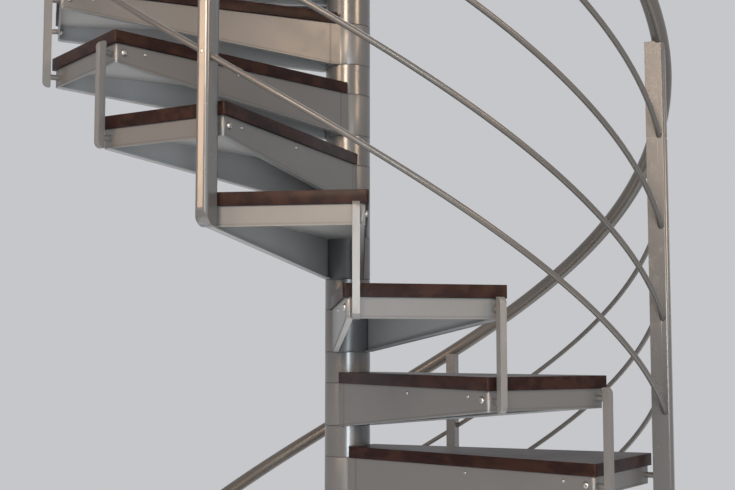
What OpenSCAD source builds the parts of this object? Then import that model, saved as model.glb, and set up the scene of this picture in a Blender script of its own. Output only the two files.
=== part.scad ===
/* [Flight] */
// Number of treads below the landing
tread_count = 16; // [8:1:16]
// Height from the top of one tread to the top of the next
riser = 200; // [180:5:220]
// Angle that each tread turns round the column
step_angle = 22; // [20:0.5:24]
// Direction of the first tread, seen from above
first_angle = 142; // [0:1:359]
/* [Column] */
// Outside diameter of the column, its hubs and its sleeves
column_d = 125; // [110:1:140]
// Wall of the hubs and sleeves
column_wall = 5; // [3:0.5:8]
// Height of the hub that each tray is welded to
hub_h = 115; // [90:1:130]
// Diameter of the base plate
base_d = 300; // [250:5:340]
// Thickness of the base plate
base_t = 12; // [8:1:20]
// Pitch circle of the base plate's bolts
base_pcd = 240; // [200:5:280]
// Bolt holes in the base plate and in the landing's outer plate
bolt_hole_d = 14; // [10:1:16]
// Height of the sleeve that shows above the landing
top_sleeve_h = 60; // [40:5:120]
// Thickness of the cap that closes the column
cap_t = 10; // [6:1:20]
/* [Tread boards] */
// Distance from the column's axis to a board's outer edge
tread_r = 805; // [700:5:900]
// How much longer a board's outer edge is than the step from line to line
tread_lap = 57; // [40:1:70]
// Width of a board at its inner end
root_w = 120; // [112:1:130]
// Distance from the column's axis to a board's inner corners
root_u = 45; // [35:1:55]
// Thickness of a board
board_t = 30; // [22:1:40]
// Radius of a board's outer corners
board_corner_r = 8; // [4:1:16]
// Gap between a board and the column
board_gap = 2; // [1:0.5:4]
/* [Trays] */
// Thickness of the folded sheet
sheet_t = 4; // [3:0.5:6]
// Distance that a board stands out past its tray
board_over = 7; // [4:1:12]
// Depth of a tray at its outer end
tip_depth = 45; // [35:1:60]
// Width of the lip folded inwards under each side of a tray
lip_w = 16; // [10:1:24]
// Outside radius of the bends between a tray's sides and its end plate
bend_r = 8; // [6:0.5:10]
/* [Tie bars] */
// Width of a tie bar along the stair's edge
bar_w = 16; // [10:1:20]
// Depth of a tie bar away from the column
bar_d = 18; // [14:1:26]
// Gap between the boards' corners and the bars and posts
bar_gap = 7; // [4:1:12]
// Distance that bars and posts run past the plates they are bolted to
bar_over = 3; // [1:1:8]
// Diameter of the spacers behind bars and posts
spacer_d = 14; // [10:1:15]
/* [Balustrade] */
// Treads from one post to the next
post_every = 4; // [3:1:5]
// Width of a post along the stair's edge
post_w = 30; // [24:1:34]
// Depth of a post away from the column
post_d = 50; // [44:1:60]
// Radius of the round edges down a post's outer face
post_edge_r = 10; // [4:1:11]
// Height of the handrail's centre over the tread beside a post
rail_h = 1060; // [950:10:1100]
// Outside diameter of the handrail
rail_d = 42; // [38:1:48]
// How far outside the posts' middle the handrail's centre runs
rail_out = 12; // [0:1:14]
// Length of handrail past the faces of the first and last post
rail_end = 70; // [50:5:120]
// Number of rods under the handrail
rod_count = 4; // [3:1:4]
// Diameter of a rod
rod_d = 14; // [10:1:16]
// How far outside the posts' middle the rods run
rod_out = 7; // [0:1:8]
// Height of the lowest rod over the tread beside a post
rod_low = 98; // [80:1:120]
// Distance from one rod up to the next
rod_pitch = 233; // [210:1:240]
// Length of rod past the faces of the first and last post
rod_end = 8; // [2:1:12]
// Gap round a rod in its post and round the handrail in its saddle
rod_gap = 0.4; // [0.3:0.1:1]
/* [Landing] */
// Number of tread widths that the landing spans
landing_steps = 3; // [2:1:3]
// Distance between the landing's wall bolts, sideways
wall_bolt_x = 200; // [120:5:220]
// Distance between the landing's wall bolts, up and down
wall_bolt_z = 60; // [40:5:70]
/* [Hidden] */
$fn = 96;
column_r = column_d / 2;
// A plate or a spacer reaches this far into the hub or the bar that it is welded to
weld = 1.5;
// Bolts round the base plate
base_bolts = 4;
// Bevels round the column's cap and round the ends of hubs and sleeves
cap_bevel = 4;
hub_bevel = 1;
// A round corner crosses both of its edges this far past touching them
graze = 0.05;
// Share of a bar's or post's depth that its round outer corner takes
corner_share = 0.8;
// Distance from the handrail's centre down to the tips of its saddle
saddle_drop = rail_d / 4;
// Straight lengths of rod or handrail beside each tread
lengths_per_step = 4;
rod_sides = 8;
rail_sides = 12;
half_step = step_angle / 2;
tread_w = 2 * tread_r * tan(half_step) + tread_lap;
// How much a board's half width grows for each millimetre outwards
side_slope = (tread_w - root_w) / 2 / (tread_r - root_u);
side_turn = atan(side_slope);
tray_r = tread_r - board_over;
corner_r = sqrt(tread_r * tread_r + tread_w * tread_w / 4);
bar_r = corner_r + bar_gap;
rail_r = bar_r + post_d / 2 + rail_out;
rod_r = bar_r + post_d / 2 + rod_out;
post_count = floor(tread_count / post_every) + 1;
steel = [0.62, 0.62, 0.64];
timber = [0.22, 0.14, 0.12];

// Direction of a tread, or of a point between two treads
function place_angle(i) = first_angle - (i - 1) * step_angle;
// Half width of a board at a distance from the axis, less an inset
function half_w(u, inset) =
    root_w / 2 + side_slope * (u - root_u) - inset / cos(side_turn);
// A point of a plan, turned about the column, or on the other side of its middle
function turned(p, a) = [p.x * cos(a) - p.y * sin(a), p.x * sin(a) + p.y * cos(a)];
function mirrored(p) = [p.x, -p.y];
// Top of the tread above a line between treads; tread 1 is above line 0.5
function line_top(m) = (m + 0.5) * riser;
function is_post(m) = (m - 0.5) % post_every == 0;
// Length along the stair's edge for each tread, and the climb there in degrees
function step_length(r) = r * step_angle * PI / 180;
function slope_at(r) = atan2(riser, step_length(r));

module at_tread(i) {
    translate([0, 0, i * riser]) rotate(place_angle(i)) children();
}

module hub(z, height) {
    translate([0, 0, z]) rotate_extrude() polygon([
        [column_r - column_wall, 0],
        [column_r - hub_bevel, 0],
        [column_r, hub_bevel],
        [column_r, height - hub_bevel],
        [column_r - hub_bevel, height],
        [column_r - column_wall, height]]);
}

// What a round corner takes off the plan of a board or a tray
module plan_waste(outer, inset, round_r) {
    reach = round_r - graze;
    centre = [outer - reach, half_w(outer - reach, inset + reach)];
    difference() {
        polygon([
            centre,
            centre + (round_r + 1) * [-sin(side_turn), cos(side_turn)],
            [outer + 1, half_w(outer + 1, inset - 1)],
            centre + [round_r + 1, 0]]);
        translate(centre) circle(r = round_r);
    }
}

// Plan of a board or a tray: a wedge with a straight outer edge and round corners.
// The landing's plan has one such edge for each tread width that it spans.
module step_plan(outer, inset, round_r, steps = 1, inner = 0) {
    far = -(steps - 1) * step_angle;
    root = [inner, half_w(inner, inset)];
    corner = [outer, half_w(outer, inset)];
    difference() {
        polygon(concat(
            [root, corner],
            [for (k = [1:1:steps - 1])
                let (a = half_step - k * step_angle)
                outer / cos(half_step) * [cos(a), sin(a)]],
            [for (p = [corner, root]) turned(mirrored(p), far)]));
        plan_waste(outer, inset, round_r);
        rotate(far) mirror([0, 1]) plan_waste(outer, inset, round_r);
    }
}

module base_plate() {
    color(steel) difference() {
        cylinder(h = base_t, d = base_d);
        for (k = [0:base_bolts - 1])
            rotate((k + 0.5) * 360 / base_bolts) translate([base_pcd / 2, 0, -1])
                cylinder(h = base_t + 2, d = bolt_hole_d);
    }
}

module column_sleeves() {
    color(steel) {
        hub(base_t, riser - board_t - hub_h - base_t);
        for (i = [1:tread_count])
            hub(i * riser - board_t, riser - hub_h);
        hub((tread_count + 1) * riser - board_t, board_t + top_sleeve_h);
    }
}

module column_cap() {
    color(steel)
        translate([0, 0, (tread_count + 1) * riser + top_sleeve_h])
            rotate_extrude() polygon([
                [0, 0],
                [column_r, 0],
                [column_r, cap_t - cap_bevel],
                [column_r - cap_bevel, cap_t],
                [0, cap_t]]);
}

module tread_board(i) {
    color(timber) at_tread(i) translate([0, 0, -board_t])
        linear_extrude(board_t) difference() {
            step_plan(tread_r, 0, board_corner_r, 1, root_u);
            circle(r = column_r + board_gap);
        }
}

// Side view of a tray, from its flat top to its sloping lower edge
module tray_side(drop) {
    translate([0, tread_w / 2, 0]) rotate([90, 0, 0]) linear_extrude(tread_w)
        polygon([
            [0, 0],
            [tray_r + 1, 0],
            [tray_r + 1, drop - tip_depth],
            [tray_r, drop - tip_depth],
            [column_r, drop - hub_h],
            [0, drop - hub_h]]);
}

module tread_tray(i) {
    inner_r = tray_r - sheet_t;
    color(steel) at_tread(i) translate([0, 0, -board_t]) {
        hub(-hub_h, hub_h);
        difference() {
            intersection() {
                translate([0, 0, -hub_h]) linear_extrude(hub_h)
                    step_plan(tray_r, board_over, bend_r);
                tray_side(0);
            }
            // The hollow over the lips
            intersection() {
                translate([0, 0, -hub_h - sheet_t]) linear_extrude(hub_h)
                    step_plan(inner_r, board_over + sheet_t, bend_r - sheet_t);
                tray_side(sheet_t);
            }
            // The open way down between the lips
            translate([0, 0, -hub_h - 1]) linear_extrude(hub_h + 1 - sheet_t)
                step_plan(inner_r, board_over + lip_w, bend_r - sheet_t);
            translate([0, 0, -hub_h - 1])
                cylinder(h = hub_h + 2, r = column_r - weld);
        }
    }
}

module landing_board() {
    color(timber) at_tread(tread_count + 1) translate([0, 0, -board_t])
        linear_extrude(board_t) difference() {
            step_plan(tread_r, 0, board_corner_r, landing_steps);
            circle(r = column_r + board_gap);
        }
}

module landing_tray() {
    color(steel) at_tread(tread_count + 1) translate([0, 0, -board_t]) {
        hub(-hub_h, hub_h);
        // Ribs under the plate, one on each line between tread widths
        for (k = [1:1:landing_steps - 1])
            rotate(half_step - k * step_angle)
                translate([column_r - weld, -sheet_t / 2, sheet_t - hub_h])
                    cube([(tray_r - sheet_t / 2) / cos(half_step) - column_r + weld,
                        sheet_t, hub_h - 1.5 * sheet_t]);
        difference() {
            translate([0, 0, -hub_h]) linear_extrude(hub_h)
                step_plan(tray_r, board_over, bend_r, landing_steps);
            translate([0, 0, -hub_h - 1]) linear_extrude(hub_h + 1 - sheet_t)
                step_plan(tray_r - sheet_t, board_over + sheet_t, bend_r - sheet_t,
                    landing_steps);
            translate([0, 0, -hub_h - 1])
                cylinder(h = hub_h + 2, r = column_r - weld);
            // Bolts through the outer plate hold the landing to the floor
            for (y = [-1, 1], z = [-1, 1])
                rotate(-step_angle)
                    translate([tray_r - 2 * sheet_t, y * wall_bolt_x / 2,
                        -hub_h / 2 + z * wall_bolt_z / 2])
                        rotate([0, 90, 0])
                            cylinder(h = 3 * sheet_t, d = bolt_hole_d);
        }
    }
}

// Spacer from a bar or post back to the outer plate of the tread beside it
module spacer(side, z) {
    translate([0, 0, z]) intersection() {
        translate([tray_r - spacer_d, 0, 0]) rotate([0, 90, 0])
            cylinder(h = bar_r + weld - tray_r + spacer_d, d = spacer_d);
        // The plate's face stands half a step off the line between treads
        rotate(side * half_step) translate([tray_r, -tread_w, -spacer_d])
            cube([bar_r, 2 * tread_w, 2 * spacer_d]);
    }
}

// What a round corner takes off an upright's outer edge, at its foot or its head
module corner_waste(x, z, r, up) {
    reach = r - graze;
    if (r > 0) translate([x - reach, z + up * reach]) difference() {
        translate([0, up > 0 ? -r - 1 : 0]) square(r + 1);
        circle(r = r);
    }
}

// Upright seen from along the stair's edge; a post's plan has the same outline
module upright(depth, z_low, z_high, low_r, high_r) {
    difference() {
        translate([bar_r, z_low]) square([depth, z_high - z_low]);
        corner_waste(bar_r + depth, z_low, low_r, 1);
        corner_waste(bar_r + depth, z_high, high_r, -1);
    }
}

module upright_solid(width, depth, z_low, z_high, low_r, high_r) {
    translate([0, width / 2, 0]) rotate([90, 0, 0]) linear_extrude(width)
        upright(depth, z_low, z_high, low_r, high_r);
}

module tie_bars() {
    plate_mid = -board_t - tip_depth / 2;
    end_r = bar_d * corner_share;
    color(steel) for (i = [1:tread_count - 1])
        if (!is_post(i + 0.5)) {
            rotate(place_angle(i + 0.5)) union() {
                upright_solid(bar_w, bar_d,
                    i * riser - board_t - tip_depth - bar_over,
                    (i + 1) * riser - board_t + bar_over, end_r, end_r);
                spacer(1, i * riser + plate_mid);
                spacer(-1, (i + 1) * riser + plate_mid);
            }
        }
}

// The first post stands on the floor before tread 1, the others between two treads
module post(n) {
    m = 0.5 + (n - 1) * post_every;
    top = line_top(m);
    plate_mid = -board_t - tip_depth / 2;
    z_low = n == 1 ? 0 : top - riser - board_t - tip_depth - bar_over;
    low_r = n == 1 ? 0 : post_d * corner_share;
    rotate(place_angle(m)) difference() {
        union() {
            intersection() {
                upright_solid(post_w + 2, post_d, z_low, top + rail_h, low_r, 0);
                translate([0, 0, z_low - 1]) linear_extrude(top + rail_h - z_low + 2)
                    upright(post_d, -post_w / 2, post_w / 2, post_edge_r, post_edge_r);
            }
            spacer(-1, top + plate_mid);
            if (n > 1) spacer(1, top - riser + plate_mid);
        }
        // Holes for the rods, and a saddle that the handrail lies in
        for (k = [0:rod_count - 1])
            translate([rod_r, 0, top + rod_low + k * rod_pitch])
                rotate([90 - slope_at(rod_r), 0, 0])
                    cylinder(h = 3 * post_w, d = rod_d + 2 * rod_gap, center = true);
        translate([rail_r, 0, top + rail_h]) rotate([90 - slope_at(rail_r), 0, 0])
            cylinder(h = 4 * post_w, d = rail_d + 2 * rod_gap, center = true);
        translate([bar_r - 1, -post_w, top + rail_h - saddle_drop])
            cube([post_d + 2, 2 * post_w, rail_d]);
    }
}

module posts() {
    color(steel) for (n = [1:post_count]) post(n);
}

// Tube in straight lengths along the stair's edge, with one centred on each post
module helix_tube(radius, diameter, height, past, sides) {
    past_m = (post_w / 2 + past) / step_length(radius);
    m_last = 0.5 + (post_count - 1) * post_every;
    inner = (post_count - 1) * post_every * lengths_per_step;
    // Whole lengths past the middle of the first and last post
    outer = max(0, ceil(past_m * lengths_per_step - 0.5));
    places = concat(
        [0.5 - past_m],
        [for (k = [-outer:inner + outer - 1]) 0.5 + (k + 0.5) / lengths_per_step],
        [m_last + past_m]);
    // Each length touches the true curve at its middle
    function off_middle(m) =
        m - 0.5 - round((m - 0.5) * lengths_per_step) / lengths_per_step;
    // Across the tube: outwards from the axis, and square to the slope
    function ring(m) = [for (s = [0:sides - 1])
        let (a = 360 * (s + 0.5) / sides, dir = place_angle(m),
            out = radius / cos(step_angle * off_middle(m)) + diameter / 2 * cos(a),
            up = diameter / 2 * sin(a),
            along = up * sin(slope_at(radius)))
        [out * cos(dir) - along * sin(dir),
            out * sin(dir) + along * cos(dir),
            line_top(m) + height + up * cos(slope_at(radius))]];
    points = [for (m = places) each ring(m)];
    walls = [for (r = [0:len(places) - 2], s = [0:sides - 1])
        let (t = (s + 1) % sides)
        [r * sides + s, (r + 1) * sides + s, (r + 1) * sides + t, r * sides + t]];
    ends = [
        [for (s = [0:sides - 1]) s],
        [for (s = [0:sides - 1]) len(points) - 1 - s]];
    polyhedron(points, concat(walls, ends));
}

module rod(n) {
    color(steel)
        helix_tube(rod_r, rod_d, rod_low + (n - 1) * rod_pitch, rod_end, rod_sides);
}

module handrail() {
    color(steel) helix_tube(rail_r, rail_d, rail_h, rail_end, rail_sides);
}

base_plate();
column_sleeves();
column_cap();
for (i = [1:tread_count]) {
    tread_board(i);
    tread_tray(i);
}
landing_board();
landing_tray();
tie_bars();
posts();
for (n = [1:rod_count]) {
    rod(n);
}
handrail();
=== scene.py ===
import math
import bpy
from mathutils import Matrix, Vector


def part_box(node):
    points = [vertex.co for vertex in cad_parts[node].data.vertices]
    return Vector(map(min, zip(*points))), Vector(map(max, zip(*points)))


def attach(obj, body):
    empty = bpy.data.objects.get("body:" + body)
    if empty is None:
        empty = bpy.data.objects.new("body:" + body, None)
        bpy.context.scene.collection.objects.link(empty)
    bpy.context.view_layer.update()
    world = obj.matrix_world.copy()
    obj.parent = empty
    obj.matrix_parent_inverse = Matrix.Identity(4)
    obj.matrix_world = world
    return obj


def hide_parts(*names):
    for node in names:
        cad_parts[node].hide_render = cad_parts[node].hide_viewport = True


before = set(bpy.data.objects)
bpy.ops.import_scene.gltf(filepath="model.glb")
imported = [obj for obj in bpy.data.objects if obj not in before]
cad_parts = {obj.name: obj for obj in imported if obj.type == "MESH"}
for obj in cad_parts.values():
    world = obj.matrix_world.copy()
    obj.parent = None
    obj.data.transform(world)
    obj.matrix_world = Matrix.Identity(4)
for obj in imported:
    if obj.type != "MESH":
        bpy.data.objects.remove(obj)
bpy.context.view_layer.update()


# Base plate: a round steel plate, 12 mm thick, that spreads the stair's load on the lower floor.
# It is cut from plate, painted silver grey like the column, and held by four anchor bolts with
# zinc-plated washers and nuts.
class Wire:
    """An output of a shader node. Python's operators add the Math nodes."""

    def __init__(self, nodes, socket):
        self.nodes, self.socket = nodes, socket

    def math(self, operation, *values):
        return self.nodes.node("Math", {"operation": operation}, dict(enumerate(values)))

    def apply(self, operation):
        """An operation on one value, such as COSINE or FLOOR"""
        return self.math(operation, self)

    def __add__(self, other):
        return self.math("ADD", self, other)

    def __sub__(self, other):
        return self.math("SUBTRACT", self, other)

    def __rsub__(self, other):
        return self.math("SUBTRACT", other, self)

    def __mul__(self, other):
        return self.math("MULTIPLY", self, other)

    def __truediv__(self, other):
        return self.math("DIVIDE", self, other)

    def __mod__(self, other):
        return self.math("MODULO", self, other)

    def __pow__(self, other):
        return self.math("POWER", self, other)

    def __abs__(self):
        return self.apply("ABSOLUTE")

    __radd__, __rmul__ = __add__, __mul__


class Nodes:
    """A tree of shader nodes, with one method that adds any node to it."""

    def __init__(self, tree):
        self.tree = tree

    def node(self, kind, settings, sockets, output=0):
        made = self.tree.nodes.new("ShaderNode" + kind)
        for name, value in settings.items():
            setattr(made, name, value)
        for name, value in sockets.items():
            if isinstance(value, Wire):
                self.tree.links.new(value.socket, made.inputs[name])
            else:
                made.inputs[name].default_value = value
        return Wire(self, made.outputs[output])

    def axes(self, vector):
        split = self.node("SeparateXYZ", {}, {0: vector}).socket.node
        return [Wire(self, output) for output in split.outputs]

    def stretched(self, vector, factors):
        return self.node("VectorMath", {"operation": "MULTIPLY"}, {0: vector, 1: factors})

    def noise(self, vector, scale, detail=2.0):
        return self.node("TexNoise", {}, {"Vector": vector, "Scale": scale, "Detail": detail})

    def fade(self, value, low, high):
        """0 at low, 1 at high, and smooth in between"""
        return self.node("MapRange", {"interpolation_type": "SMOOTHSTEP"},
                         {0: value, 1: low, 2: high, 3: 0.0, 4: 1.0})

    def mix(self, share, first, second):
        return self.node("Mix", {"data_type": "RGBA"}, {0: share, 6: first, 7: second}, output=2)


class Finish(Nodes):
    """A material, with the numbers that are the same all over set on its shader."""

    def __init__(self, name, **even):
        self.material = bpy.data.materials.new(name)
        self.material.use_nodes = True
        super().__init__(self.material.node_tree)
        self.shader = self.tree.nodes["Principled BSDF"]
        for socket, value in even.items():
            self.shader.inputs[socket.replace("_", " ")].default_value = value
        # Object coordinates are the frame's own, because every piece has its place in its mesh
        self.place = self.node("TexCoord", {}, {}, output=3)

    def height(self):
        """Height above the lower floor"""
        return self.axes(self.place)[2]

    def from_axis(self):
        """Distance from the column's axis"""
        x, y = self.axes(self.place)[:2]
        return (x * x + y * y) ** 0.5

    def feed(self, **sockets):
        for socket, wire in sockets.items():
            self.tree.links.new(wire.socket, self.shader.inputs[socket.replace("_", " ")])

    def rough_up(self, height, depth):
        """Bump of a height from 0 to 1 that stands for so many metres"""
        self.feed(Normal=self.node("Bump", {}, {"Height": height, "Distance": depth, "Strength": 1.0}))


def grey(level, warmth=0.0):
    """Grey as a colour, with more red and less blue in it the warmer it is"""
    return (level * (1 + warmth), level, level * (1 - warmth), 1.0)


SILVER = 0.140
ZINC = 0.42


def sprayed_paint(name, level, warmth=0.0, shine=0.34, dirt_and_shade=None, wear_and_highlight=None, matt_and_underlit=None):
    """Metallic paint: cloudy tone, fine flakes and orange peel, darker where grimy and where shade is
    painted, lighter and smoother where hands, shoes and tools have worn it and where highlights are
    painted, and matt where the spray went on half dried, with painted light from below making it pale"""
    metal = 0.40
    paint = Finish(name, Metallic=metal, IOR=1.4, Coat_Roughness=0.12)
    cloud = paint.noise(paint.place, 3.1, 3)
    flake = paint.noise(paint.place, 1400, 1)
    peel = paint.noise(paint.place, 260, 2)
    colour = paint.mix(cloud * 0.8 + flake * 0.2, grey(level * 0.84, warmth), grey(level * 1.16, warmth))
    rough = shine + cloud * 0.06 + flake * 0.03
    scuff = paint.fade(paint.noise(paint.place, 34, 3), 0.50, 0.72)
    # Lighter and smoother where worn, and a painted highlight on the tray bends
    if wear_and_highlight:
        worn = wear_and_highlight(paint) * (0.35 + scuff * 0.65)
        colour = paint.mix(worn * 0.45, colour, grey(level * 1.5, warmth))
        rough = rough - worn * 0.05
    # Darker where grimy, and painted shade in the column's grooves, over the lip's fold and against the
    # hub
    if dirt_and_shade:
        grime_and_shade = dirt_and_shade(paint) * (0.6 + cloud * 0.6)
        colour = paint.mix(grime_and_shade, colour, grey(level * 0.16, 0.08))
        rough = rough + grime_and_shade * 0.3
    gloss = 0.12 + cloud * 0.12 - scuff * 0.06
    # Pale inside the trays as painted light from below, and matt where the spray went on half dried
    if matt_and_underlit:
        underlit_share = matt_and_underlit(paint) * (0.75 + cloud * 0.4)
        colour = paint.mix(underlit_share, colour, grey(level * 2.6, warmth))
        rough = rough + underlit_share * 0.35
        gloss = gloss - underlit_share * 0.2
        paint.feed(Metallic=metal - underlit_share * 0.36)
    paint.feed(Base_Color=colour, Roughness=rough + scuff * 0.05, Coat_Weight=gloss)
    paint.rough_up(peel, 0.00002)
    return paint


def near_floor(paint):
    """Dust and splashes of floor wash, thinning out over the lowest 60 mm"""
    splash = paint.noise(paint.place, 55, 4) * 0.03
    return (1 - paint.fade(paint.height() + splash, 0.0, 0.06)) * 0.45


plate_r, plate_top = 0.150, 0.012


def plate_rim(paint):
    """Worn rim of the base plate, where brooms and shoes pass, and a faint ring at the column"""
    reach = paint.from_axis()
    ring = 1 - paint.fade(abs(reach - 0.072), 0.0, 0.01)
    return paint.fade(reach, plate_r - 0.0045, plate_r) + ring * 0.3


def dress(node, paint):
    """A CAD node keeps its shape and gets a finish on its material slot"""
    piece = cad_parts[node]
    piece.material_slots[0].material = paint.material
    return piece


def ease_edges(node, width):
    """Sawn and cut edges of a CAD node catch the light on a small round"""
    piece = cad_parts[node]
    weld = piece.modifiers.new("weld", "WELD")
    weld.merge_threshold = 0.00001
    bevel = piece.modifiers.new("bevel", "BEVEL")
    bevel.width, bevel.segments = width, 2
    bevel.limit_method, bevel.angle_limit = "ANGLE", math.radians(40)
    bevel.harden_normals = True
    return piece


def only(piece):
    """The piece alone is selected and active"""
    bpy.ops.object.select_all(action="DESELECT")
    piece.select_set(True)
    bpy.context.view_layer.objects.active = piece
    return piece


def start(primitive, name, **settings):
    """A primitive at its size and place, with its place in its mesh"""
    bpy.ops.object.select_all(action="DESELECT")
    primitive(**settings)
    piece = bpy.context.object
    piece.name = piece.data.name = name
    bpy.ops.object.transform_apply(location=True, rotation=True, scale=True)
    return piece


def shape(piece, kind, choose, *steps):
    """Edit-mode operators on the points, edges or faces that choose() picks by place"""
    only(piece)
    bpy.ops.object.mode_set(mode="EDIT")
    bpy.ops.mesh.select_mode(type=kind)
    bpy.ops.mesh.select_all(action="DESELECT")
    bpy.ops.object.mode_set(mode="OBJECT")
    mesh = piece.data
    if kind == "FACE":
        for face in mesh.polygons:
            face.select = choose(face)
    elif kind == "EDGE":
        for edge in mesh.edges:
            edge.select = choose(*[mesh.vertices[v].co for v in edge.vertices])
    else:
        for vertex in mesh.vertices:
            vertex.select = choose(vertex.co)
    bpy.ops.object.mode_set(mode="EDIT")
    for operator, settings in steps:
        operator(**settings)
    bpy.ops.object.mode_set(mode="OBJECT")
    return piece


def soften(piece, width, segments=2, angle=35):
    """Small rounds on all sharp edges, and smooth shading over them"""
    only(piece)
    bevel = piece.modifiers.new("bevel", "BEVEL")
    bevel.width, bevel.segments = width, segments
    bevel.limit_method, bevel.angle_limit = "ANGLE", math.radians(angle)
    bpy.ops.object.modifier_apply(modifier=bevel.name)
    bpy.ops.object.shade_smooth_by_angle(angle=math.radians(angle))
    return piece


def coat(piece, finish):
    """A new piece gets its finish"""
    piece.data.materials.clear()
    piece.data.materials.append(finish.material)
    return piece


def discard(*patterns):
    """Patterns go once all their copies are made"""
    for pattern in patterns:
        bpy.data.objects.remove(pattern)


def joined(name, pieces):
    """Several pieces made one mesh"""
    only(pieces[0])
    for piece in pieces:
        piece.select_set(True)
    bpy.ops.object.join()
    piece = bpy.context.object
    piece.name = piece.data.name = name
    return piece


def copied(piece, name, turn=0.0, place=(0, 0, 0), face=None):
    """A copy with its own mesh, turned about the column or set with its own Z along face"""
    only(piece)
    bpy.ops.object.duplicate(linked=False)
    copy = bpy.context.object
    copy.name = copy.data.name = name
    copy.rotation_euler = Vector(face).to_track_quat("Z", "Y").to_euler() if face else (0, 0, turn)
    copy.location = place
    bpy.ops.object.transform_apply(location=True, rotation=True, scale=True)
    return copy


def moved(piece, turn, place):
    """A piece's mesh turned about the column and lifted to its place"""
    only(piece)
    piece.rotation_euler = (0, 0, turn)
    piece.location = place
    bpy.ops.object.transform_apply(location=True, rotation=True, scale=True)
    return piece


def plated_zinc(name):
    """Bright zinc, with the dull patches and fine file marks of plated fasteners"""
    zinc = Finish(name, Metallic=1.0)
    cloud = zinc.noise(zinc.place, 90, 3)
    marks = zinc.noise(zinc.stretched(zinc.place, (60, 60, 900)), 1.0, 3)
    zinc.feed(Base_Color=zinc.mix(cloud, grey(ZINC * 0.8, 0.02), grey(ZINC * 1.15)),
              Roughness=0.27 + cloud * 0.14 + marks * 0.06)
    zinc.rough_up(marks, 0.00003)
    return zinc


bolt_circle = 0.120
washer_r, washer_t = 0.0125, 0.0024
nut_r, nut_t = 0.0108, 0.010
stud_r, stud_length, stud_out = 0.0059, 0.009, 0.0079
base_paint = sprayed_paint("base_plate_paint", SILVER, dirt_and_shade=near_floor, wear_and_highlight=plate_rim)
zinc = plated_zinc("zinc_plating")
dress("base_plate", base_paint)
ease_edges("base_plate", width=0.0012)

washer = start(bpy.ops.mesh.primitive_cylinder_add, "washer", vertices=40, radius=washer_r,
               depth=washer_t, location=(bolt_circle, 0, plate_top + washer_t / 2))
soften(washer, width=0.0005)
nut = start(bpy.ops.mesh.primitive_cylinder_add, "nut", vertices=6, radius=nut_r, depth=nut_t,
            location=(bolt_circle, 0, plate_top + washer_t + nut_t / 2))
shape(nut, "FACE", lambda face: face.normal.z > 0.9,
      (bpy.ops.mesh.inset, {"thickness": 0.0016, "depth": 0.0011}))
soften(nut, width=0.0006)
stud = start(bpy.ops.mesh.primitive_cylinder_add, "stud", vertices=24, radius=stud_r,
             depth=stud_length,
             location=(bolt_circle, 0, plate_top + washer_t + nut_t + stud_out - stud_length / 2))
shape(stud, "FACE", lambda face: face.normal.z > 0.9,
      (bpy.ops.mesh.inset, {"thickness": 0.0012, "depth": 0.0010}))
soften(stud, width=0.0003)
anchor = coat(joined("anchor_pattern", [washer, nut, stud]), zinc)
anchors = [copied(anchor, f"anchor_{k}", math.radians(45 + 90 * k)) for k in range(4)]
discard(anchor)
anchor_bolts = joined("anchor_bolts", anchors)
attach(anchor_bolts, "root")


# Column: tube sleeves and the trays' hubs, clamped one on the other round an inner tube that
# doesn't show. The tube is painted before assembly, so each joint shows as a fine dark groove.
# A turned steel cap with a countersunk screw closes the top.
riser = 0.200
hub_h, board_t = 0.115, 0.030
sleeve_ends = (riser - board_t - hub_h, riser - board_t)


def sleeve_joints(paint):
    """Shadow and dust in the groove at each end of a sleeve"""
    height = paint.height() % riser
    low, high = [1 - paint.fade(abs(height - place), 0.0006, 0.0022) for place in sleeve_ends]
    return (low + high) * 0.75


def hand_height(paint):
    """Hands and hips polish the column here and there"""
    return paint.fade(paint.noise(paint.stretched(paint.place, (4, 4, 1.5)), 1.3, 3), 0.45, 0.7) * 0.4


column_paint = sprayed_paint("column_paint", SILVER * 0.88, shine=0.20, dirt_and_shade=sleeve_joints,
                             wear_and_highlight=hand_height)
dress("column_sleeves", column_paint)
dress("column_cap", column_paint)
ease_edges("column_cap", width=0.0008)
cap_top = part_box("column_cap")[1].z
cap_screw = start(bpy.ops.mesh.primitive_cylinder_add, "cap_screw", vertices=32, radius=0.0085,
                  depth=0.004, location=(0, 0, cap_top + 0.002))
shape(cap_screw, "FACE", lambda face: face.normal.z > 0.9,
      (bpy.ops.mesh.inset, {"thickness": 0.0045}),
      (bpy.ops.mesh.extrude_region_move, {"TRANSFORM_OT_translate": {"value": (0, 0, -0.0022)}}))
soften(cap_screw, width=0.0008, segments=3)
coat(cap_screw, zinc)
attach(cap_screw, "root")


# Tread trays: 4 mm steel sheet folded down on both sides and at the outer end, with a lip turned
# in under each side, welded to its hub and painted. A round-headed bolt near the outer end and
# two small screws hold each side; nuts inside the end plate hold the tie bars.
tread_count = 16
step_turn = math.radians(22)
first_turn = math.radians(142)
tray_r, sheet_t = 0.798, 0.004
hub_r, tip_h = 0.0625, 0.045
board_r, tread_lap, board_over = 0.805, 0.057, 0.007
board_half = board_r * math.tan(step_turn / 2) + tread_lap / 2
root_u, root_half = 0.045, 0.060
side_slope = (board_half - root_half) / (board_r - root_u)
side_turn = math.atan(side_slope)
side_inset = board_over / math.cos(side_turn)


def tread_turn(number):
    """The way that a tread points, or a line between two treads"""
    return first_turn - (number - 1) * step_turn


def half_width(out):
    """Half of a board's width at a distance from the column's axis"""
    return root_half + side_slope * (out - root_u)


def side_depth(out):
    """Depth of a tray's side, from the hub's height down to the end plate's"""
    return hub_h - (hub_h - tip_h) * (out - hub_r) / (tray_r - hub_r)


def beside_tread(paint):
    """A point's place on its own tread: outwards, sideways, and down from the board's underside"""
    x, y, z = paint.axes(paint.place)
    count = (z / riser).apply("CEIL")
    turn = tread_turn(count)
    cos, sin = turn.apply("COSINE"), turn.apply("SINE")
    return x * cos + y * sin, y * cos - x * sin, count * riser - board_t - z


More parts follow.
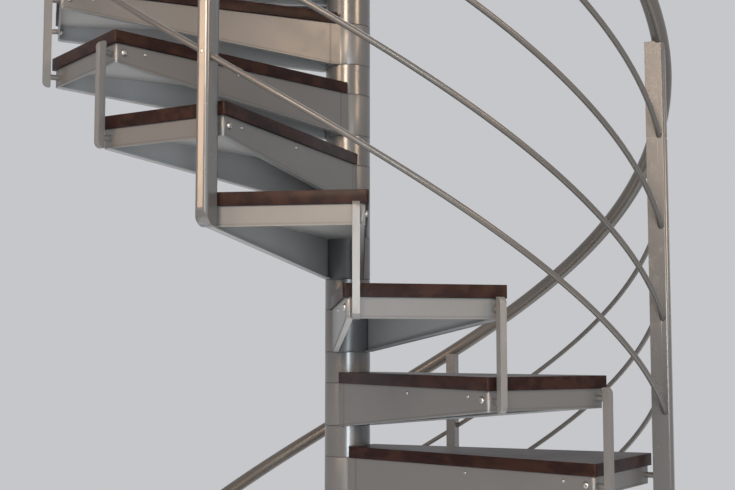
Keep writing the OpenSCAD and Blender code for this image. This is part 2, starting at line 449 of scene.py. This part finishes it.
def tray_edge_wear_and_highlight(paint):
    """Lighter on the lower edges and round the outer corners: paint worn thin, and a painted highlight
    on the bends
    """
    out, side, down = beside_tread(paint)
    lower = paint.fade(side_depth(out) - down, 0.0035, 0.0) * paint.fade(out, 0.07, 0.09)
    corner = paint.fade(out, tray_r - 0.009, tray_r - 0.002) * paint.fade(abs(side), 0.158, 0.172)
    return lower * 0.8 + corner * 0.9


def tray_fold_and_hub_shade(paint):
    """Painted shade over the fold of the lip and in the corner against the hub"""
    out, side, down = beside_tread(paint)
    above = side_depth(out) - down
    fold = paint.fade(above, 0.0075, 0.0045) * paint.fade(above, 0.002, 0.0045)
    seam = paint.fade(out, 0.070, 0.0645) * paint.fade(out, 0.0615, 0.0630)
    return fold * 0.32 + seam * 0.35


def tray_inside_underlit(paint):
    """Between the side plates, under the sheet, the spray gun reached only from afar, so the paint is
    matt there; its paler colour is painted light from below
    """
    out, side, down = beside_tread(paint)
    off_side = half_width(out) - side_inset - abs(side)
    within = paint.fade(off_side, 0.0015, 0.0035) * paint.fade(tray_r - out, 0.0015, 0.0035)
    off_hub = paint.fade((out * out + side * side) ** 0.5, hub_r + 0.001, hub_r + 0.006)
    return within * off_hub * paint.fade(down, 0.0025, 0.0038)


# The tray paint carries painted shade at the lip's fold and against the hub, painted highlights on the
# bends, and painted light from below inside the trays
tray_paint = sprayed_paint("tray_paint", SILVER * 0.97, dirt_and_shade=tray_fold_and_hub_shade, wear_and_highlight=tray_edge_wear_and_highlight,
                           matt_and_underlit=tray_inside_underlit)


def round_bolt(name, radius, height):
    """Round-headed socket bolt with its underside on the XY plane, facing +Z"""
    head = start(bpy.ops.mesh.primitive_cylinder_add, name, vertices=24, radius=radius,
                 depth=height, location=(0, 0, height / 2))
    shape(head, "EDGE", lambda a, b: min(a.z, b.z) > height * 0.9,
          (bpy.ops.mesh.bevel, {"offset": height * 0.85, "segments": 4, "profile": 0.5}))
    shape(head, "FACE", lambda face: face.normal.z > 0.99 and face.area > radius * radius * 0.2,
          (bpy.ops.mesh.inset, {"thickness": radius * 0.12}),
          (bpy.ops.mesh.extrude_region_move,
           {"TRANSFORM_OT_translate": {"value": (0, 0, -height * 0.45)}}))
    only(head)
    bpy.ops.object.shade_smooth_by_angle(angle=math.radians(35))
    return coat(head, zinc)


def side_place(out, side, down):
    """A point on a tray's side plate, and the way that the plate faces there"""
    half = half_width(out) - side_inset
    facing = (-math.sin(side_turn), side * math.cos(side_turn), 0)
    return (out, side * half, -board_t - down), facing


bolt_head = round_bolt("bolt_pattern", radius=0.0080, height=0.0052)
screw_head = round_bolt("screw_pattern", radius=0.0040, height=0.0024)
nut_face = start(bpy.ops.mesh.primitive_cylinder_add, "nut_pattern", vertices=6, radius=0.0088,
                 depth=0.007, location=(0, 0, 0.0035))
shape(nut_face, "FACE", lambda face: face.normal.z > 0.9,
      (bpy.ops.mesh.inset, {"thickness": 0.0030, "depth": 0.0}),
      (bpy.ops.mesh.extrude_region_move, {"TRANSFORM_OT_translate": {"value": (0, 0, 0.0025)}}))
coat(soften(nut_face, width=0.0005), zinc)
# Each fixing, its distance from the column's axis and its depth below the board
fixing_spots = ((bolt_head, 0.775, 0.0205), (screw_head, 0.430, 0.0150), (screw_head, 0.715, 0.0150))
fixings = []
for side in (-1, 1):
    for pattern, out, down in fixing_spots:
        place, facing = side_place(out, side, down)
        fixings.append(copied(pattern, "fixing", place=place, face=facing))
    inner = tray_r - sheet_t
    fixings.append(copied(nut_face, "fixing", face=(-1, 0, 0),
                          place=(inner, side * inner * math.tan(step_turn / 2), -board_t - tip_h / 2)))
tray_fixings = joined("tray_fixing_pattern", fixings)
discard(bolt_head, screw_head, nut_face)
for i in range(1, tread_count + 1):
    node = f"tread_tray_{i}"
    dress(node, tray_paint)
    ease_edges(node, width=0.0007)
    fixing = copied(tray_fixings, f"tray_bolts_{i}", tread_turn(i), (0, 0, i * riser))
    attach(fixing, "root")
discard(tray_fixings)


# Tread boards: 30 mm hardwood glued up from staves that run out from the column, with a hollow
# inner end, rounded outer corners and eased edges, stained very dark and varnished satin. They
# are screwed to the trays from below, so no fixing shows.
hollow_r = 0.0645
STAIN_DARK = (0.0075, 0.0038, 0.0036, 1.0)
STAIN_RED = (0.0215, 0.0088, 0.0076, 1.0)
PORE_BLACK = (0.006, 0.004, 0.004, 1.0)
WORN_BROWN = (0.040, 0.018, 0.013, 1.0)
stave = 0.046
slice_gap = 0.5


def stained_board_wood(name):
    """Stave by stave: long fibres, growth bands, dark pores and a thin satin varnish"""
    wood = Finish(name, IOR=1.5, Specular_IOR_Level=0.08, Coat_Roughness=0.25, Coat_IOR=1.4)
    grain = wood.node("Attribute", {"attribute_name": "grain"}, {}, output=1)
    out, across, thick = wood.axes(grain)
    # Staves are counted from far outside the board, so that no count is negative
    staves = across / stave + 40.5
    number = staves.apply("FLOOR") * 1.37 + (thick / slice_gap).apply("FLOOR")
    chance = wood.node("TexWhiteNoise", {"noise_dimensions": "1D"}, {"W": number})
    shifted = wood.node("CombineXYZ", {}, {0: out + chance * 3.7, 1: across + chance * 0.9,
                                           2: thick + chance * 1.9})
    fibre = wood.noise(wood.stretched(shifted, (7, 170, 170)), 1.0, 5)
    bands = wood.noise(wood.stretched(shifted, (1.6, 34, 34)), 1.0, 3)
    pores = wood.fade(wood.noise(wood.stretched(shifted, (38, 1300, 1300)), 1.0, 1), 0.60, 0.72)
    seam = wood.fade(abs(staves % 1 - 0.5), 0.485, 0.498)
    tone = bands * 0.35 + fibre * 1.4 + chance * 0.3 - 0.54
    rub_noise = wood.noise(wood.stretched(grain, (14, 30, 30)), 1.0, 4)
    edge = wood.fade(half_width(out) - abs(across), 0.0045, 0.0008)
    edge = edge + wood.fade(out, board_r - 0.004, board_r)
    worn = edge * wood.fade(rub_noise, 0.42, 0.62) * 0.5
    walked = wood.fade(out, 0.30, 0.45) * wood.fade(out, 0.76, 0.62)
    colour = wood.mix(tone, STAIN_DARK, STAIN_RED)
    colour = wood.mix(pores * 0.55 + seam * 0.4, colour, PORE_BLACK)
    colour = wood.mix(worn, colour, WORN_BROWN)
    wood.feed(Base_Color=colour,
              Roughness=0.34 + fibre * 0.14 + walked * rub_noise * 0.12,
              Coat_Weight=0.07 - walked * rub_noise * 0.05)
    wood.rough_up(fibre * 0.5 - pores * 0.5 - seam * 0.15 + 0.6, 0.00018)
    return wood


def marked_grain(piece, shift):
    """The staves follow the board: its own place before it is turned, with its own slice of wood"""
    grain = piece.data.attributes.new("grain", "FLOAT_VECTOR", "POINT")
    for vertex, entry in zip(piece.data.vertices, grain.data):
        entry.vector = vertex.co + Vector((0, 0, shift))
    return piece


def board_wedge(name):
    """A board before its inner end is hollowed: a block narrowed towards the column"""
    middle, reach = (root_u + board_r) / 2, board_r - root_u
    block = start(bpy.ops.mesh.primitive_cube_add, name, size=1, location=(middle, 0, -board_t / 2),
                  scale=(reach, 2 * board_half, board_t))
    return shape(block, "FACE", lambda face: face.normal.x < -0.9,
                 (bpy.ops.transform.resize,
                  {"value": (1, root_half / board_half, 1), "center_override": (root_u, 0, 0)}))


def hollowed(board):
    """The inner end is cut round the column"""
    cutter = start(bpy.ops.mesh.primitive_cylinder_add, "cutter", vertices=160, radius=hollow_r,
                   depth=0.2, location=(0, 0, 0))
    only(board)
    cut = board.modifiers.new("cut", "BOOLEAN")
    cut.object, cut.operation, cut.solver = cutter, "DIFFERENCE", "EXACT"
    bpy.ops.object.modifier_apply(modifier=cut.name)
    discard(cutter)
    return board


def outer_corner(a, b):
    """An upright edge at one of the board's outer corners"""
    upright = abs(a.x - b.x) + abs(a.y - b.y) < 0.0001
    return upright and a.x > board_r - 0.001 and abs(a.y) > board_half - 0.001


board_wood = stained_board_wood("dark_stained_hardwood")
board = hollowed(board_wedge("board_pattern"))
shape(board, "EDGE", outer_corner, (bpy.ops.mesh.bevel, {"offset": 0.008, "segments": 6}))
soften(board, width=0.0026, segments=3)
coat(board, board_wood)
for i in range(1, tread_count + 1):
    piece = copied(board, f"stained_board_{i}")
    marked_grain(piece, i * slice_gap)
    moved(piece, tread_turn(i), (0, 0, i * riser))
    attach(piece, "root")
    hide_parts(f"tread_board_{i}")


# Landing: three tread widths in one, at the upper floor. Its board is glued up in three wedges
# with the joints over the tray's ribs. The tray is welded from plate, and four hexagon bolts
# through its middle outer plate hold it to the edge of the floor.
landing_step = tread_count + 1
landing_top = landing_step * riser


def landing_mark(paint):
    """Worn lower edge of the landing tray"""
    bottom = landing_top - board_t - hub_h
    return paint.fade(paint.height(), bottom + 0.004, bottom) * 0.8


landing_paint = sprayed_paint("landing_paint", SILVER * 0.97, wear_and_highlight=landing_mark)
dress("landing_tray", landing_paint)
ease_edges("landing_tray", width=0.0007)
# The middle wedge is cut on both sides, and the outer ones only where they meet it
for k, cut_sides in enumerate(((-1,), (-1, 1), (1,))):
    wedge = copied(board, f"stained_landing_{k + 1}")
    for side in cut_sides:
        half = side * step_turn / 2
        shape(wedge, "FACE", lambda face: True,
              (bpy.ops.mesh.bisect,
               {"plane_co": (0, 0, 0),
                "plane_no": (-side * math.sin(half), side * math.cos(half), 0),
                "clear_outer": True, "use_fill": True}),
              (bpy.ops.mesh.bevel, {"offset": 0.0006, "segments": 1}))
    marked_grain(wedge, (landing_step + k) * slice_gap)
    moved(wedge, tread_turn(landing_step + k), (0, 0, landing_top))
    bpy.ops.object.shade_smooth_by_angle(angle=math.radians(35))
    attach(wedge, "root")
    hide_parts("landing_board")
discard(board)

wall_head = start(bpy.ops.mesh.primitive_cylinder_add, "wall_head", vertices=6, radius=nut_r,
                  depth=0.0075, location=(0, 0, 0.0062))
shape(wall_head, "FACE", lambda face: face.normal.z > 0.9,
      (bpy.ops.mesh.inset, {"thickness": 0.0016, "depth": 0.0010}))
wall_washer = start(bpy.ops.mesh.primitive_cylinder_add, "wall_washer", vertices=40, radius=washer_r,
                    depth=washer_t, location=(0, 0, washer_t / 2))
wall_bolt = coat(soften(joined("wall_bolt", [wall_head, wall_washer]), width=0.0005), zinc)
wall_turn = tread_turn(landing_step + 1)
middle_height = landing_top - board_t - hub_h / 2


def round_column(reach, turn, height=0.0, along=0.0):
    """A place at a reach from the column's axis and a turn round it, or so far along from there"""
    return Vector((reach * math.cos(turn) - along * math.sin(turn),
                   reach * math.sin(turn) + along * math.cos(turn), height))


wall_bolts = []
for along in (-0.1, 0.1):
    for up in (-0.03, 0.03):
        place = round_column(tray_r - sheet_t, wall_turn, middle_height + up, along)
        wall_bolts.append(copied(wall_bolt, "wall_bolt_copy", place=place,
                                 face=-round_column(1, wall_turn)))
discard(wall_bolt)
floor_edge_bolts = joined("floor_edge_bolts", wall_bolts)
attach(floor_edge_bolts, "root")


# Tie bars: flat steel bars with round ends, each bolted through a spacer to the end plate of one
# tread and of the next. They carry the outer ends of the treads from one to the other, and are
# painted lighter than the trays.
def bar_edges(paint):
    """Small rubs all over, where clothes and bags brush the bars"""
    return paint.fade(paint.noise(paint.stretched(paint.place, (30, 30, 8)), 1.0, 4), 0.5, 0.66) * 0.5


bar_paint = sprayed_paint("tie_bar_paint", SILVER * 1.22, shine=0.44, wear_and_highlight=bar_edges)
dress("tie_bars", bar_paint)
ease_edges("tie_bars", width=0.0014)


# Posts: flat steel posts with round outer edges and a rounded foot, painted silver grey. The rods
# pass through slanted holes, where a grub screw from the outer face holds each one, and the
# handrail lies in a saddle on top.
# The tie bars and the posts start a little outside the boards' corners
bar_gap = 0.007
bar_r = math.hypot(board_r, board_half) + bar_gap
post_count, post_every = 5, 4
post_d, post_w = 0.050, 0.030
rod_count, rod_low, rod_pitch = 4, 0.098, 0.233


def post_edges(paint):
    """Rubs along the posts' outer faces"""
    brushed = paint.fade(paint.noise(paint.stretched(paint.place, (20, 20, 5)), 1.0, 4), 0.5, 0.68)
    return paint.fade(paint.from_axis(), bar_r + post_d - 0.006, bar_r + post_d) * brushed * 0.8


post_paint = sprayed_paint("post_paint", SILVER * 0.95, shine=0.19, dirt_and_shade=near_floor,
                           wear_and_highlight=post_edges)
dress("posts", post_paint)
ease_edges("posts", width=0.0012)
grub = round_bolt("grub_pattern", radius=0.0038, height=0.0012)
grubs = []
for n in range(post_count):
    line = 0.5 + post_every * n
    turn = tread_turn(line)
    for k in range(rod_count):
        height = (line + 0.5) * riser + rod_low + k * rod_pitch
        grubs.append(copied(grub, "grub", place=round_column(bar_r + post_d, turn, height),
                            face=round_column(1, turn)))
discard(grub)
grub_screws = joined("grub_screws", grubs)
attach(grub_screws, "root")


# Rods: 14 mm round steel, rolled to the climb of the stair and threaded through the posts from
# below. They are painted a darker, warmer grey than the posts, with a long sheen.
# The rods run a little outside the middle of the posts
rod_d, rod_out = 0.014, 0.007
rod_r = bar_r + post_d / 2 + rod_out
RAIL_GREY = 0.105


def gripped(paint):
    """Where hands and cleaning cloths polish the metal in long patches"""
    return paint.fade(paint.noise(paint.place, 6.5, 3), 0.46, 0.62) * 0.6


rod_paint = sprayed_paint("rod_paint", RAIL_GREY, warmth=0.05, shine=0.34, wear_and_highlight=gripped)


def climbing_tube(name, radius, thickness, height, past, sides, steps, ends=()):
    """A ring drawn along a helix from past the first post to past the last, at a height above the
    treads' corners, with its ends filled and shaped"""
    reach = (post_w / 2 + past) / (radius * step_turn)
    climb = math.atan2(riser, radius * step_turn)
    low, high = 0.5 - reach, tread_count + 0.5 + reach
    turn = tread_turn(low)
    along = Vector((math.sin(turn) * math.cos(climb), -math.cos(turn) * math.cos(climb),
                    math.sin(climb)))
    tube = start(bpy.ops.mesh.primitive_circle_add, name, vertices=sides, radius=thickness / 2,
                 location=round_column(radius, turn, (low + 0.5) * riser + height),
                 rotation=along.to_track_quat("Z", "Y").to_euler())
    sweep = tube.modifiers.new("sweep", "SCREW")
    sweep.axis, sweep.iterations = "Z", 1
    sweep.angle, sweep.screw_offset = -(high - low) * step_turn, (high - low) * riser
    sweep.steps = sweep.render_steps = steps
    bpy.ops.object.modifier_apply(modifier=sweep.name)
    shape(tube, "VERT", lambda point: True,
          (bpy.ops.mesh.fill_holes, {"sides": 0}),
          (bpy.ops.mesh.normals_make_consistent, {"inside": False}))
    if ends:
        shape(tube, "FACE", lambda face: len(face.vertices) == sides, *ends)
    return soften(tube, width=0.0013, segments=3, angle=50)


for n in range(rod_count):
    rod = climbing_tube(f"smooth_rod_{n + 1}", rod_r, rod_d, rod_low + n * rod_pitch, past=0.008,
                        sides=20, steps=190)
    coat(rod, rod_paint)
    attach(rod, "root")
    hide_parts(f"rod_{n + 1}")


# Handrail: 42 mm steel tube rolled to the climb, screwed down on the posts' saddles and closed at
# both ends by a domed cap. It has the same warm grey finish as the rods, polished by hands.
rail_height, rail_d, rail_out, rail_past = 1.060, 0.042, 0.012, 0.066
rail_r = bar_r + post_d / 2 + rail_out
rail_paint = sprayed_paint("handrail_paint", RAIL_GREY, warmth=0.07, shine=0.32, wear_and_highlight=gripped)
domed_cap = [(bpy.ops.mesh.inset, {"thickness": inwards, "depth": outwards})
             for inwards, outwards in ((0.0015, 0.0), (0.0045, 0.0024), (0.0065, 0.0016))]
handrail = climbing_tube("smooth_handrail", rail_r, rail_d, rail_height, rail_past, sides=40,
                         steps=220, ends=domed_cap)
coat(handrail, rail_paint)
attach(handrail, "root")
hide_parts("handrail")


# The view: the camera stands in the photo's place, in front of the column and half way up.
camera_place = Vector((-0.01112, -3.38387, 2.05152))
yaw, pitch = 0.01968, 0.08902
focal_px, frame_px = 1211.26, 735
aim = Vector((math.sin(yaw) * math.cos(pitch), math.cos(yaw) * math.cos(pitch), math.sin(pitch)))
bpy.ops.object.camera_add(location=camera_place)
camera = bpy.context.object
camera.rotation_euler = aim.to_track_quat("-Z", "Y").to_euler()
camera.data.sensor_fit, camera.data.sensor_width = "HORIZONTAL", 36
camera.data.lens = focal_px / frame_px * camera.data.sensor_width
bpy.context.scene.camera = camera
bpy.context.scene.view_settings.view_transform = "Standard"


# The studio: a round pale floor that fades into a pale grey surround. An upright cool softbox lights
# the stair from the front, a weak one from beside it, three warm ones from higher up on both sides,
# and a wide one from high behind. A low panel on the floor that the camera doesn't see fills in.
PALE = (0.565, 0.570, 0.590, 1.0)
FLOOR_PALE = (0.80, 0.81, 0.82, 1.0)
BLACK = (0.0, 0.0, 0.0, 1.0)
surround_light = 0.75
world = bpy.data.worlds.new("studio")
world.use_nodes = True
bpy.context.scene.world = world
studio = Nodes(world.node_tree)
ray = studio.node("LightPath", {}, {}).socket.node.outputs
seen = Wire(studio, ray["Is Camera Ray"])
for kind in ("Is Glossy Ray", "Is Transmission Ray"):
    seen = seen.math("MAXIMUM", seen, Wire(studio, ray[kind]))
background = world.node_tree.nodes["Background"]
background.inputs["Color"].default_value = PALE
strength = surround_light + seen * (1 - surround_light)
world.node_tree.links.new(strength.socket, background.inputs["Strength"])

floor = start(bpy.ops.mesh.primitive_circle_add, "studio_floor", vertices=128, radius=9,
              fill_type="NGON", location=(0, 0, 0))
floor_finish = Finish("pale_floor", Roughness=0.75, Emission_Strength=1.0, Specular_IOR_Level=0.0)
far = floor_finish.fade(floor_finish.from_axis(), 1.2, 4.6)
floor_finish.feed(Base_Color=floor_finish.mix(far, FLOOR_PALE, BLACK),
                  Emission_Color=floor_finish.mix(far, BLACK, PALE))
coat(floor, floor_finish)
stair_middle = Vector((0, 0, 2.3))


def softbox(name, turn, distance, height, size, spread, power, colour):
    """A soft lamp round the column at a turn from the right, aimed at the middle of the stair"""
    place = round_column(distance, math.radians(turn), height)
    bpy.ops.object.light_add(type="AREA", location=place)
    lamp = bpy.context.object
    lamp.name = name
    lamp.rotation_euler = (stair_middle - place).to_track_quat("-Z", "Y").to_euler()
    lamp.data.shape = "RECTANGLE"
    lamp.data.size, lamp.data.size_y = size
    lamp.data.spread = math.radians(spread)
    lamp.data.energy, lamp.data.color = power, colour
    return lamp


softbox("front_box", turn=-86, distance=6.0, height=1.5, size=(1.4, 2.8), spread=60,
        power=21, colour=(0.82, 0.93, 1.0))
softbox("right_front_box", turn=-68, distance=6.0, height=1.8, size=(2.0, 2.4), spread=60,
        power=3, colour=(1.0, 0.98, 0.96))
softbox("warm_high_box", turn=-102, distance=6.0, height=4.4, size=(1.6, 2.0), spread=60,
        power=28, colour=(1.0, 0.78, 0.58))
softbox("warm_left_box", turn=-136, distance=6.0, height=3.7, size=(2.2, 1.8), spread=60,
        power=13, colour=(1.0, 0.66, 0.42))
softbox("warm_right_box", turn=-42, distance=6.0, height=4.3, size=(1.6, 2.0), spread=60,
        power=14, colour=(1.0, 0.70, 0.46))
softbox("back_box", turn=80, distance=5.5, height=7.5, size=(3.0, 3.0), spread=150,
        power=80, colour=(0.96, 0.98, 1.0))
floor_panel = softbox("floor_panel", turn=0, distance=0.001, height=0.03, size=(4.4, 4.4),
                      spread=170, power=60, colour=(1.0, 0.98, 0.95))
floor_panel.visible_camera = False
